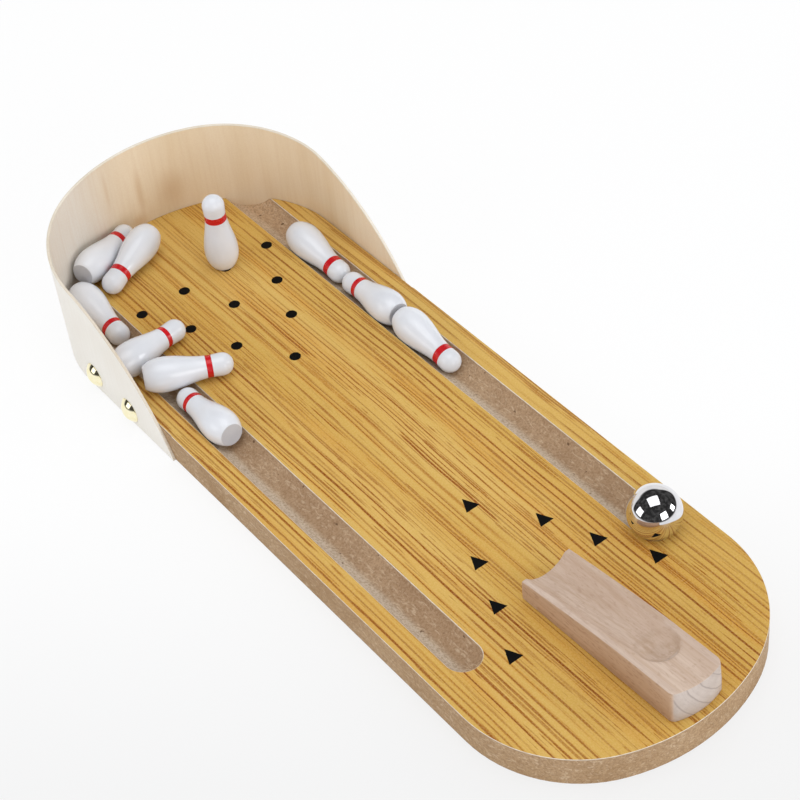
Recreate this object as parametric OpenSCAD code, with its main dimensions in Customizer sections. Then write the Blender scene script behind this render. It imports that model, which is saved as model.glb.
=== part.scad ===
// Table bowling game: a lane board with two gutters, a bent guard behind the pins,
// a launching ramp, a steel ball and ten small pins, lying as they fall after a throw.
// Millimetres. +Z up, +Y from the player towards the pins, +X to the player's right.
// The origin is on the table, under the middle of the whole part.

/* [Board] */
// width across the lane
board_w = 106; // [96:1:140]
// length from end to end
board_l = 304.2; // [280:0.1:420]
// thickness of the MDF core
core_t = 11; // [8:0.5:20]
// thickness of the printed laminate on the core
laminate_t = 0.6; // [0.3:0.1:1.5]
// how much the radius of a rounded end's middle arc exceeds half the width
end_more = 13; // [4:0.5:60]
// how much the radius of its two corner arcs falls short of half the width
corner_less = 8.4; // [2:0.2:30]

/* [Gutters] */
// width of a gutter at the lane's surface
gutter_w = 12.3; // [8:0.1:16]
// depth of a gutter below the lane's surface
gutter_depth = 4.3; // [2:0.1:6]
// from the board's long edge to the middle of the gutter
gutter_inset = 14.3; // [10:0.1:24]
// from the board's front end to the middle of the gutter's round end
gutter_start = 64.2; // [40:0.1:120]

/* [Printed marks] */
// thickness of the printed ink
ink_t = 0.1; // [0.05:0.05:0.3]
// sideways offset of the whole print
print_shift = 1.1; // [-3:0.1:3]
// turn of the whole print on the board
print_turn = 0.3; // [-1:0.1:1]
// diameter of a pin spot
spot_d = 4.1; // [2:0.1:8]
// from the board's back end to the head spot
spot_start = 98.4; // [80:0.1:120]
// from one row of spots to the next
spot_row = 18.6; // [14:0.1:22]
// from spot to spot in the second, third and fourth rows
spot_pitch = [23.8, 18.9, 18.3]; // [14:0.1:26]
// length of an aiming arrow
arrow_l = 5.7; // [3:0.1:9]
// width of an aiming arrow
arrow_w = 5.4; // [2:0.1:8]
// from the board's front end to the middle of the foremost arrow
arrow_start = 110.4; // [90:0.1:140]
// how far the three pairs of arrows stand behind the foremost one
arrow_back = [20.6, 38.2, 56.1]; // [0:0.1:60]
// how far the three pairs of arrows stand out from the middle
arrow_out = [13.4, 20.5, 29.4]; // [0:0.1:60]

/* [Guard] */
// thickness of the bent plywood strip
guard_t = 1; // [0.8:0.1:4]
// height of the strip at the back end, from the table
guard_h = 46.6; // [30:0.1:70]
// fall of the top edge, in millimetres for each millimetre forward
guard_fall = 0.112; // [0:0.001:0.3]
// radius of the rounded shoulder of the top edge
guard_shoulder_r = 76; // [50:1:100]
// from the board's back end to the strip's front points, left and right
guard_reach = [101.3, 98.3]; // [96:0.1:120]

/* [Nails] */
// diameter of a domed nail head
nail_head_d = 9.4; // [6:0.1:10]
// height of the dome
nail_head_h = 2.6; // [1:0.1:4]
// diameter of the shank
nail_shank_d = 1.8; // [1:0.1:2]
// length of the shank under the head
nail_shank_l = 12; // [6:0.5:14]
// from the board's back end to each nail of a side
nail_back = [52.5, 75.2]; // [40:0.1:80]
// height of each nail of a side above the table
nail_z = [6.4, 5.5]; // [5.3:0.1:7]

/* [Ramp] */
// width of the ramp
ramp_w = 19.5; // [14:0.1:30]
// length of the straight sides
ramp_l = 64.6; // [40:0.1:90]
// height of the low end, where the ball leaves
ramp_low = 8.1; // [5:0.1:12]
// height of the high end, where the ball starts
ramp_high = 13.1; // [9:0.1:24]
// from the left corner of the high end to the two bends of the top
ramp_bend_at = [21, 36]; // [20:0.5:60]
// height of the top at its two bends
ramp_bend_h = [12.6, 11.5]; // [6:0.1:24]
// radius of the bulging high end face
ramp_nose_r = 25; // [18:0.5:60]
// how far the middle of the bulge is to the right of the ramp's middle
ramp_nose_x = 1.2; // [-2:0.1:2]
// radius of the groove's section
groove_r = 10; // [9.5:0.1:20]
// depth of the groove at the low end
groove_low = 3.9; // [1:0.1:5]
// depth of the groove at its closed end
groove_high = 2.7; // [1:0.1:4]
// from the left corner of the high end to the middle of the ball seat
seat_from_end = 16.8; // [11:0.1:19.5]
// how far the ball seat is to the right of the ramp's middle
seat_x = 0.7; // [-1:0.1:1]
// how much deeper the ball seat is than the groove
seat_drop = 0.6; // [0.2:0.1:1]
// from the board's front end to the left corner of the high end
ramp_start = 4.9; // [4:0.1:30]
// sideways place of the high end
ramp_x = 0.4; // [-10:0.1:10]
// turn of the ramp on the lane
ramp_turn = 1.5; // [-10:0.1:10]

/* [Ball] */
// diameter of the steel ball
ball_d = 18; // [13:0.1:24]

/* [Pins] */
// height of a pin
pin_h = 31.3; // [26:0.1:36]
// greatest diameter, at the belly
pin_d = 12.4; // [9:0.1:13]
// height of the belly
belly_h = 6.7; // [5:0.1:8]
// diameter of the flat foot
foot_d = 8.2; // [6:0.1:9]
// diameter of the neck
neck_d = 7.8; // [5:0.1:8]
// height of the neck
neck_h = 23.3; // [20:0.1:25]
// diameter of the head
head_d = 8.1; // [6:0.1:9]
// height of the widest place of the head
head_h = 27.3; // [26:0.1:29]
// height of the lower edge of each pin's painted band
band_from = [21.1, 21.4, 21.3, 22.4, 21, 21.7, 22.5, 22.6, 21.2, 22.5]; // [15:0.1:23]
// width of each pin's painted band
band_w = [2.7, 2.3, 2.3, 2.1, 1.9, 2.1, 2, 2.6, 2.3, 2.7]; // [1:0.1:4]
// depth of the painted bands
band_t = 0.15; // [0.1:0.05:0.3]

/* [How the pins lie] */
// standing pin: place from the board's back end and from the middle
standing_place = [40.2, 10.6]; // [0:0.1:80]
// pin against the guard: from the middle of the left gutter to the middle of its belly
guard_pin_out = 10.2; // [10:0.1:14]
// pin across the left gutter: its turn, and its place from the board's back end
cross_pin_turn = 11; // [0:1:30]
cross_pin_back = 66.3; // [50:0.1:80]
// pin beside it: its turn, and its place from the board's long edge
beside_pin_turn = -25; // [-40:1:0]
beside_pin_edge = 12; // [8:0.1:16]
// first pin of the row in the right gutter: its foot from the board's back end
row_back = 46; // [30:0.1:60]

/* [Fits] */
// clearance of a nail shank in its hole, all round
nail_gap = 0.05; // [0.02:0.01:0.1]
// clearance under what lies or stands on the lane
rest_gap = 0.12; // [0.1:0.01:0.3]
// gap between pieces that lean on each other
lean_gap = 0.4; // [0.3:0.05:1]
// gap between two pins that lie side by side
side_gap = 0.6; // [0.5:0.1:2]

/* [Hidden] */
$fn = 96;
half_w = board_w / 2;
board_t = core_t + laminate_t;
// the guard stands behind the board, so the board sits this much forward
mid_y = -guard_t / 2;
back_y = mid_y + board_l / 2;
front_y = mid_y - board_l / 2;

// arcs of the rounded ends, their centres from the middle of the board
end_r = half_w + end_more;
corner_r = half_w - corner_less;
end_c = board_l / 2 - end_r;
corner_x = corner_less;
corner_c = end_c + sqrt(pow(end_r - corner_r, 2) - pow(corner_x, 2));

gutter_x = half_w - gutter_inset;
gutter_half = gutter_w / 2;
gutter_r = (pow(gutter_half, 2) + pow(gutter_depth, 2)) / (2 * gutter_depth);
gutter_c = board_t - gutter_depth + gutter_r;
gutter_front_y = front_y + gutter_start;

// the guard's top edge, seen from the side: a straight fall, then an arc down to the front point
fall_angle = atan(guard_fall);
along_fall = [cos(fall_angle), sin(fall_angle)];
under_fall = [sin(fall_angle), -cos(fall_angle)];
shoulder_steps = 24;

// centre of the arc that ends in this front point: it slides along the fall until the two meet
function shoulder_c(front) =
    let (c = [back_y, guard_h] + guard_shoulder_r * under_fall - front, run = c * along_fall)
    front + c + (sqrt(pow(run, 2) - c * c + pow(guard_shoulder_r, 2)) - run) * along_fall;

nail_cap_r = (pow(nail_head_d / 2, 2) + pow(nail_head_h, 2)) / (2 * nail_head_h);
nail_tip_l = 2 * nail_shank_d;

ramp_nose_c = sqrt(pow(ramp_nose_r, 2) - pow(ramp_w / 2 + ramp_nose_x, 2));
ramp_bulge = ramp_nose_r - ramp_nose_c;
ramp_slant = (ramp_high - ramp_bend_h[0]) / ramp_bend_at[0];
seat_top_z = ramp_high - seat_from_end * ramp_slant;
groove_run = ramp_l - seat_from_end;
groove_fall = atan((seat_top_z - groove_high - ramp_low + groove_low) / groove_run);
groove_turn = atan(seat_x / groove_run);

ball_r = ball_d / 2;
ball_lift = sqrt(pow(ball_r, 2) - pow(gutter_half, 2));

belly_r = pin_d / 2;
foot_r = foot_d / 2;
neck_r = neck_d / 2;
head_r = head_d / 2;
foot_arc_r = (pow(belly_h, 2) + pow(belly_r - foot_r, 2)) / (2 * (belly_r - foot_r));
head_reach = head_h - belly_h;
pin_tilt = asin((belly_r - head_r) / head_reach);
pin_step = head_reach * cos(pin_tilt);
// height of the belly's middle over the surface that a tilted pin lies on
lying_h = rest_gap + max([
    for (h = [0:0.25:head_h]) pin_r(h) * cos(pin_tilt) + (h - belly_h) * sin(pin_tilt)
]);
lane_z = board_t + lying_h;
channel_z = lane_z - gutter_depth;

// half thickness of a pin at height h
function pin_r(h) =
    h < belly_h ? belly_r - foot_arc_r + sqrt(pow(foot_arc_r, 2) - pow(belly_h - h, 2)) :
    h < neck_h ? wave(belly_r, neck_r, (h - belly_h) / (neck_h - belly_h)) :
    h < head_h ? wave(neck_r, head_r, (h - neck_h) / (head_h - neck_h)) :
    head_r * sqrt(max(0, 1 - pow((h - head_h) / (pin_h - head_h), 2)));

// smooth change from a to b as t goes from 0 to 1
function wave(a, b, t) = (a + b) / 2 + (a - b) / 2 * cos(180 * t);

// points of the pin's outline from height h0 to height h1
function pin_side(h0, h1, steps) = [
    for (i = [0:steps]) let (h = h0 + (h1 - h0) * i / steps) [pin_r(h), h]
];

// the pin against the guard leans there with its belly and its head
guard_belly_x = guard_pin_out - gutter_x;
guard_belly_p = [
    guard_belly_x,
    mid_y + corner_c + sqrt(
        pow(corner_r - lean_gap - belly_r, 2) - pow(guard_belly_x + corner_x, 2)
    )
];
guard_head_p = meeting(guard_belly_p, pin_step, [0, mid_y + end_c], end_r - lean_gap - head_r);
guard_pin_dir = (guard_head_p - guard_belly_p) / pin_step;
guard_pin_turn = atan2(guard_pin_dir[1], guard_pin_dir[0]);

// the next pin lies the other way round, its belly beside the first one's neck
next_belly_p = guard_belly_p + (neck_h - belly_h) * cos(pin_tilt) * guard_pin_dir
    + (belly_r + neck_r + side_gap) * [guard_pin_dir[1], -guard_pin_dir[0]];

// the point at distance r from p and s from q, to the right of the way from q to p
function meeting(p, r, q, s) =
    let (v = p - q, d = norm(v), a = (s * s - r * r + d * d) / (2 * d))
    q + a * v / d + sqrt(s * s - a * a) * [v[1], -v[0]] / d;

// the pin in the left gutter has its foot in the guard's corner
corner_foot_y = mid_y + corner_c + sqrt(
    pow(corner_r - lean_gap, 2) - pow(gutter_x + foot_r - corner_x, 2)
);

cross_x = -half_w + lean_gap + belly_h * cos(cross_pin_turn) + foot_r * sin(cross_pin_turn);
cross_y = back_y - cross_pin_back;

// height of the bridging pin's axis over a gutter edge that crosses it at height h of the pin
function over_edge(h) = max([
    for (d = [-foot_r:0.1:foot_r])
        sqrt(max(0, pow(pin_r(h + d * sin(beside_pin_turn)), 2) - pow(d * cos(beside_pin_turn), 2)))
]);

// the pin beside the crossing one bridges the gutter: it rests on its outer edge,
// and on its inner edge or with its head on the lane
beside_x = -half_w + beside_pin_edge;
beside_out_h = belly_h - (gutter_x + gutter_half + beside_x) / cos(beside_pin_turn);
beside_in_h = beside_out_h + gutter_w / cos(beside_pin_turn);
beside_out_z = over_edge(beside_out_h);
beside_in_z = over_edge(beside_in_h);
beside_tilt = atan(min(
    (beside_out_z - beside_in_z) / (beside_in_h - beside_out_h),
    (beside_out_z - head_r) / (head_h - beside_out_h)
));
beside_z = board_t + rest_gap + beside_out_z - (belly_h - beside_out_h) * tan(beside_tilt);
beside_y = cross_y - (belly_r + foot_r + lean_gap) / cos(cross_pin_turn)
    - belly_h * sin(-beside_pin_turn) + foot_r * (1 - cos(beside_pin_turn));

// the pin in front of it has its head under that pin's side
head_z = channel_z - head_reach * sin(pin_tilt);
under_step = sqrt(pow(belly_r + head_r + rest_gap, 2) - pow(beside_z - head_z, 2));
under_y = beside_y + (gutter_x + beside_x) * tan(-beside_pin_turn)
    - under_step / cos(beside_pin_turn) - pin_step;

// three pins in a row in the right gutter, head to head and foot to foot
row_1_y = back_y - row_back - belly_h * cos(pin_tilt);
row_2_y = row_1_y - 2 * (pin_h - belly_h) * cos(pin_tilt) - lean_gap;
row_3_y = row_2_y - 2 * belly_h * cos(pin_tilt) - 2 * foot_r * sin(pin_tilt) - lean_gap;

// [x, y, z of the belly, tilt from upright, turn] of pin n
function pin_place(n) =
    n == 1 ? [standing_place[1], back_y - standing_place[0], board_t + belly_h + rest_gap, 0, 0] :
    n == 2 ? lying(guard_belly_p[0], guard_belly_p[1], guard_pin_turn) :
    n == 3 ? lying(next_belly_p[0], next_belly_p[1], guard_pin_turn + 180) :
    n == 4 ? in_gutter(-gutter_x, corner_foot_y - belly_h * cos(pin_tilt), -90) :
    n == 5 ? lying(cross_x, cross_y, cross_pin_turn) :
    n == 6 ? [beside_x, beside_y, beside_z, 90 + beside_tilt, beside_pin_turn] :
    n == 7 ? in_gutter(-gutter_x, under_y, 90) :
    n == 8 ? in_gutter(gutter_x, row_1_y, -90) :
    n == 9 ? in_gutter(gutter_x, row_2_y, 90) :
    in_gutter(gutter_x, row_3_y, -90);
function lying(x, y, turn) = [x, y, lane_z, 90 + pin_tilt, turn];
function in_gutter(x, y, turn) = [x, y, channel_z, 90 + pin_tilt, turn];

// the board's outline, grown by g
module board_outline(g = 0) {
    translate([0, mid_y])
    union() {
        square([board_w + 2 * g, 2 * corner_c], center = true);
        for (s = [-1, 1]) {
            for (m = [-1, 1])
                translate([m * corner_x, s * corner_c])
                circle(r = corner_r + g);
            intersection() {
                translate([0, s * end_c])
                circle(r = end_r + g);
                end_wedge(s);
            }
        }
    }
}

// the sector of an end where the middle arc is the edge
module end_wedge(s) {
    reach = 2 * end_r / (corner_c - end_c);
    polygon([
        [0, s * end_c],
        [-reach * corner_x, s * (end_c + reach * (corner_c - end_c))],
        [reach * corner_x, s * (end_c + reach * (corner_c - end_c))]
    ]);
}

// what the gutter cutter takes away, on both sides
module gutter_cut() {
    for (m = [-1, 1])
        translate([m * gutter_x, gutter_front_y, gutter_c]) {
            sphere(r = gutter_r);
            rotate([-90, 0, 0])
            cylinder(r = gutter_r, h = board_l);
        }
}

// each nail's place, axis pointing out of the board
module at_nails() {
    for (m = [-1, 1])
        for (i = [0, 1])
            translate([m * (half_w + guard_t), back_y - nail_back[i], nail_z[i]])
            rotate([0, m * 90, 0])
            children();
}

module nail_holes() {
    at_nails()
    translate([0, 0, -nail_shank_l - nail_gap])
    cylinder(d = nail_shank_d + 2 * nail_gap, h = nail_shank_l + 2 * nail_gap);
}

module board_core() {
    color("tan")
    difference() {
        linear_extrude(core_t)
        board_outline();
        gutter_cut();
        nail_holes();
    }
}

module lane_laminate() {
    color("goldenrod")
    difference() {
        translate([0, 0, core_t])
        linear_extrude(laminate_t)
        board_outline();
        gutter_cut();
        spots();
        arrows();
    }
}

// puts a mark at its place in the print
module in_print(place) {
    translate([print_shift, 0, board_t - ink_t])
    rotate([0, 0, print_turn])
    translate(place)
    children();
}

// ten spots in four rows, the head spot nearest the player
module spots() {
    for (row = [0:3])
        for (i = [0:row])
            in_print([
                (i - row / 2) * (row == 0 ? 0 : spot_pitch[row - 1]),
                back_y - spot_start + row * spot_row
            ])
            cylinder(d = spot_d, h = ink_t);
}

// seven arrows in a V that points at the pins
module arrows() {
    arrow_at(0, 0);
    for (i = [0:2])
        for (m = [-1, 1])
            arrow_at(m * arrow_out[i], arrow_back[i]);
}

module arrow_at(x, back) {
    in_print([x, front_y + arrow_start - back])
    linear_extrude(ink_t)
    polygon([[0, arrow_l * 2 / 3], [-arrow_w / 2, -arrow_l / 3], [arrow_w / 2, -arrow_l / 3]]);
}

module pin_spots() {
    color("black") spots();
}

module aiming_arrows() {
    color("black") arrows();
}

// what is cut off one side of the strip, seen from that side: all in front of its arc and above it
module guard_offcut(reach) {
    top_z = 2 * guard_h;
    far_y = board_l;
    front = [back_y - reach, 0];
    c = shoulder_c(front);
    turn = atan2(c[0] - front[0], -c[1]) - fall_angle;
    polygon(concat(
        [for (i = [0:shoulder_steps]) let (a = fall_angle + turn * i / shoulder_steps)
            c + guard_shoulder_r * [-sin(a), cos(a)]],
        [[front[0], -guard_t], [-far_y, -guard_t], [-far_y, top_z], [far_y, top_z]],
        [[far_y, guard_h + guard_fall * (far_y - back_y)]]
    ));
}

// a strip all round the board, of which the back part stays
module guard() {
    color("wheat")
    difference() {
        linear_extrude(guard_h + guard_t)
        difference() {
            board_outline(guard_t);
            board_outline();
        }
        for (side = [0, 1])
            translate([(side - 1) * board_w, 0, 0])
            rotate([90, 0, 90])
            linear_extrude(board_w)
            guard_offcut(guard_reach[side]);
        nail_holes();
    }
}

module guard_nails() {
    color("gold")
    at_nails() {
        intersection() {
            translate([0, 0, nail_head_h - nail_cap_r])
            sphere(r = nail_cap_r);
            cylinder(d = nail_head_d, h = nail_head_h);
        }
        translate([0, 0, nail_tip_l - nail_shank_l])
        cylinder(d = nail_shank_d, h = nail_shank_l - nail_tip_l);
        translate([0, 0, -nail_shank_l])
        cylinder(d1 = nail_shank_d / 4, d2 = nail_shank_d, h = nail_tip_l);
    }
}

// seen from above: straight sides and a bulging high end, the low end towards +Y
module ramp_plan() {
    translate([-ramp_w / 2, 0])
    square([ramp_w, ramp_l]);
    intersection() {
        translate([ramp_nose_x, ramp_nose_c])
        circle(r = ramp_nose_r);
        translate([-ramp_w / 2, -ramp_bulge])
        square([ramp_w, 2 * ramp_bulge]);
    }
}

// seen from the side: flat below, nearly level above the seat, then falling to the low end
module ramp_side() {
    polygon([
        [-ramp_bulge, 0], [ramp_l, 0], [ramp_l, ramp_low],
        [ramp_bend_at[1], ramp_bend_h[1]], [ramp_bend_at[0], ramp_bend_h[0]],
        [-ramp_bulge, ramp_high + ramp_bulge * ramp_slant],
    ]);
}

// the ball's groove, with a round closed end and a slightly deeper seat
module ramp_groove() {
    translate([seat_x, seat_from_end, seat_top_z - groove_high]) {
        translate([0, 0, groove_r])
        sphere(r = groove_r);
        rotate([-90 - groove_fall, 0, groove_turn])
        translate([0, -groove_r, 0])
        cylinder(r = groove_r, h = 2 * ramp_l);
        translate([0, 0, ball_r + rest_gap - seat_drop])
        sphere(r = ball_r + rest_gap);
    }
}

module ramp() {
    color("burlywood")
    translate([ramp_x, front_y + ramp_start, board_t])
    rotate([0, 0, ramp_turn])
    difference() {
        intersection() {
            linear_extrude(2 * ramp_high)
            ramp_plan();
            translate([-ramp_w, 0, 0])
            rotate([90, 0, 90])
            linear_extrude(2 * ramp_w)
            ramp_side();
        }
        ramp_groove();
    }
}

module ball() {
    color("silver")
    translate([gutter_x, gutter_front_y, board_t + ball_lift + rest_gap])
    sphere(r = ball_r);
}

// the turned pin, standing on its foot
module pin_body() {
    crown_steps = 10;
    rotate_extrude()
    polygon(concat(
        [[0, 0]],
        pin_side(0, belly_h, 6),
        pin_side(belly_h, neck_h, 12),
        pin_side(neck_h, head_h, 4),
        [for (i = [1:crown_steps - 1]) let (a = 90 * i / crown_steps)
            [head_r * cos(a), head_h + (pin_h - head_h) * sin(a)]],
        [[0, pin_h]]
    ));
}

// the painted band, a thin ring let into the pin's surface
module band_ring(n) {
    band_steps = 4;
    from = band_from[n - 1];
    step = band_w[n - 1] / band_steps;
    rotate_extrude()
    polygon([
        for (i = [0:band_steps]) let (h = from + i * step) [pin_r(h) + band_t, h],
        for (i = [band_steps:-1:0]) let (h = from + i * step) [pin_r(h) - band_t, h]
    ]);
}

// puts a standing pin where pin n is
module place_pin(n) {
    p = pin_place(n);
    translate([p[0], p[1], p[2]])
    rotate([0, p[3], p[4]])
    translate([0, 0, -belly_h])
    children();
}

module pin(n) {
    color("white")
    place_pin(n)
    difference() {
        pin_body();
        band_ring(n);
    }
}

module band(n) {
    color("red")
    place_pin(n)
    intersection() {
        pin_body();
        band_ring(n);
    }
}

board_core();
lane_laminate();
pin_spots();
aiming_arrows();
guard();
guard_nails();
ramp();
ball();
pin(1);  // pin_1
pin(2);  // pin_2
pin(3);  // pin_3
pin(4);  // pin_4
pin(5);  // pin_5
pin(6);  // pin_6
pin(7);  // pin_7
pin(8);  // pin_8
pin(9);  // pin_9
pin(10);  // pin_10
band(1);  // band_1
band(2);  // band_2
band(3);  // band_3
band(4);  // band_4
band(5);  // band_5
band(6);  // band_6
band(7);  // band_7
band(8);  // band_8
band(9);  // band_9
band(10);  // band_10
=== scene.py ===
"""Looks of the table bowling game: its pieces in mesh code, their materials, the light and the camera."""

import math

import bmesh
import bpy
import numpy as np
from mathutils import Matrix, Vector, noise


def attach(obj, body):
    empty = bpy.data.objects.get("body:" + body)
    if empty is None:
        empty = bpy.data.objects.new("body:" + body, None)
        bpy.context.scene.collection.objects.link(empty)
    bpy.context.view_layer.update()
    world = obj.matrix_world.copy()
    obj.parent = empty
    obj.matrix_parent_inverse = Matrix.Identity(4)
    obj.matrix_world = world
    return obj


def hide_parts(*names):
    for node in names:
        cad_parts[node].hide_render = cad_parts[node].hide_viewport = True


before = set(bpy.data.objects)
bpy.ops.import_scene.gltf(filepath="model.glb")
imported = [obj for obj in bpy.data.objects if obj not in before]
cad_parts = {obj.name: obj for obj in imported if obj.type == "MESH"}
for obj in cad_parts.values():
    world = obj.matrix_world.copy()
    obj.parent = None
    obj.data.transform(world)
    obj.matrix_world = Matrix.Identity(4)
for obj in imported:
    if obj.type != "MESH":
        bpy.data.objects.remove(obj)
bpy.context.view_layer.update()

MM = 0.001

# Sizes of the CAD model in millimetres, its turns in degrees, and the guard's fall as a slope
BOARD_W, BOARD_L, CORE_T, LAMINATE_T = 106.0, 304.2, 11.0, 0.6
END_MORE, CORNER_LESS = 13.0, 8.4
GUTTER_W, GUTTER_DEPTH, GUTTER_INSET, GUTTER_START = 12.3, 4.3, 14.3, 64.2
PRINT_SHIFT, PRINT_TURN = 1.1, 0.3
SPOT_D, SPOT_START, SPOT_ROW, SPOT_PITCH = 4.1, 98.4, 18.6, (0, 23.8, 18.9, 18.3)
ARROW_L, ARROW_W, ARROW_START = 5.7, 5.4, 110.4
ARROW_BACK, ARROW_OUT = (20.6, 38.2, 56.1), (13.4, 20.5, 29.4)
GUARD_T, GUARD_H, GUARD_FALL, SHOULDER_R = 1.0, 46.6, 0.112, 76.0
GUARD_REACH_LEFT, GUARD_REACH_RIGHT = 101.3, 98.3
HEAD_D, HEAD_H, SHANK_D, SHANK_L, NAIL_BACK, NAIL_Z = 9.4, 2.6, 1.8, 12.0, (52.5, 75.2), (6.4, 5.5)
RAMP_W, RAMP_L, RAMP_LOW, RAMP_HIGH = 19.5, 64.6, 8.1, 13.1
RAMP_BEND_AT, RAMP_BEND_H, RAMP_NOSE_R, RAMP_NOSE_X = (21.0, 36.0), (12.6, 11.5), 25.0, 1.2
GROOVE_R, GROOVE_LOW, GROOVE_HIGH = 10.0, 3.9, 2.7
SEAT_FROM_END, SEAT_X, SEAT_DROP = 16.8, 0.7, 0.6
RAMP_START, RAMP_X, RAMP_TURN = 4.9, 0.4, 1.5
BALL_D, REST_GAP = 18.0, 0.12
PIN_H, BELLY_R, BELLY_H, FOOT_R = 31.3, 6.2, 6.7, 4.1
NECK_R, NECK_H, PIN_HEAD_R, PIN_HEAD_H = 3.9, 23.3, 4.05, 27.3
BAND_FROM = (21.1, 21.4, 21.3, 22.4, 21.0, 21.7, 22.5, 22.6, 21.2, 22.5)
BAND_W = (2.7, 2.3, 2.3, 2.1, 1.9, 2.1, 2.0, 2.6, 2.3, 2.7)
BAND_T = 0.15
PINS = range(1, 11)

HALF_W = BOARD_W / 2
BOARD_T = CORE_T + LAMINATE_T
MID_Y = -GUARD_T / 2
BACK_Y, FRONT_Y = MID_Y + BOARD_L / 2, MID_Y - BOARD_L / 2
END_R, CORNER_R = HALF_W + END_MORE, HALF_W - CORNER_LESS
END_C, CORNER_X = BOARD_L / 2 - END_R, CORNER_LESS
CORNER_C = END_C + math.sqrt((END_R - CORNER_R) ** 2 - CORNER_X**2)
JOIN = math.atan2(CORNER_C - END_C, CORNER_X)
GUTTER_X, GUTTER_HALF = HALF_W - GUTTER_INSET, GUTTER_W / 2
GUTTER_R = (GUTTER_HALF**2 + GUTTER_DEPTH**2) / (2 * GUTTER_DEPTH)
GUTTER_C = BOARD_T - GUTTER_DEPTH + GUTTER_R
GUTTER_FRONT_Y = FRONT_Y + GUTTER_START


# Colours and shader nodes
def rgb(r, g, b):
    """A colour as a screen shows it, 0 to 255, in linear light."""
    lin = [c / 12.92 if c <= 0.04045 else ((c + 0.055) / 1.055) ** 2.4 for c in (r / 255, g / 255, b / 255)]
    return (*lin, 1.0)


class Nodes:
    """Shader nodes made by short calls in one emptied node tree."""

    def __init__(self, tree):
        self.tree = tree
        tree.nodes.clear()

    def put(self, socket, value):
        if isinstance(value, bpy.types.NodeSocket):
            self.tree.links.new(value, socket)
        else:
            socket.default_value = value

    def node(self, kind, inputs, **props):
        n = self.tree.nodes.new("ShaderNode" + kind)
        for key, value in props.items():
            setattr(n, key, value)
        for key, value in inputs.items():
            self.put(n.inputs[key], value)
        return n

    def here(self):
        """The place on the piece, in metres."""
        return self.node("TexCoord", {}).outputs["Object"]

    def at(self, scale=(1, 1, 1), move=(0, 0, 0)):
        """The place on the piece, stretched by scale and then moved."""
        return self.node("Mapping", {"Vector": self.here(), "Scale": scale, "Location": move}).outputs[0]

    def noise(self, vector, scale=1.0, detail=2.0, rough=0.5, distortion=0.0):
        inputs = {"Vector": vector, "Scale": scale, "Detail": detail, "Roughness": rough}
        return self.node("TexNoise", {**inputs, "Distortion": distortion}).outputs["Fac"]

    def math(self, op, a, b=0.0):
        return self.node("Math", {0: a, 1: b}, operation=op).outputs[0]

    def times(self, first, *more):
        for value in more:
            first = self.math("MULTIPLY", first, value)
        return first

    def plus(self, first, *more):
        for value in more:
            first = self.math("ADD", first, value)
        return first

    def minus(self, a, b):
        return self.math("SUBTRACT", a, b)

    def over(self, a, b):
        return self.math("DIVIDE", a, b)

    def length(self, a, b):
        return self.math("SQRT", self.plus(self.times(a, a), self.times(b, b)))

    def step(self, value, low, high, to_low=0.0, to_high=1.0):
        """A smooth change from to_low to to_high as value goes from low to high."""
        inputs = {"Value": value, "From Min": low, "From Max": high, "To Min": to_low, "To Max": to_high}
        return self.node("MapRange", inputs, interpolation_type="SMOOTHSTEP").outputs[0]

    def mix(self, share, a, b):
        made = self.node("Mix", {0: share, 6: a, 7: b}, data_type="RGBA", clamp_factor=True)
        return made.outputs[2]

    def parts(self, vector):
        return self.node("SeparateXYZ", {0: vector}).outputs

    def join(self, x, y, z):
        return self.node("CombineXYZ", {0: x, 1: y, 2: z}).outputs[0]

    def bump(self, height, distance, strength=1.0):
        return self.node("Bump", {"Height": height, "Distance": distance, "Strength": strength}).outputs[0]


class Look(Nodes):
    """One material around a Principled shader, with its uniform values set on the shader's own sockets."""

    def __init__(self, name, **uniform):
        self.mat = bpy.data.materials.new(name)
        self.mat.use_nodes = True
        super().__init__(self.mat.node_tree)
        self.bsdf = self.node("BsdfPrincipled", uniform)
        self.node("OutputMaterial", {"Surface": self.bsdf.outputs[0]})

    def set(self, key, value):
        self.put(self.bsdf.inputs[key], value)


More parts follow.
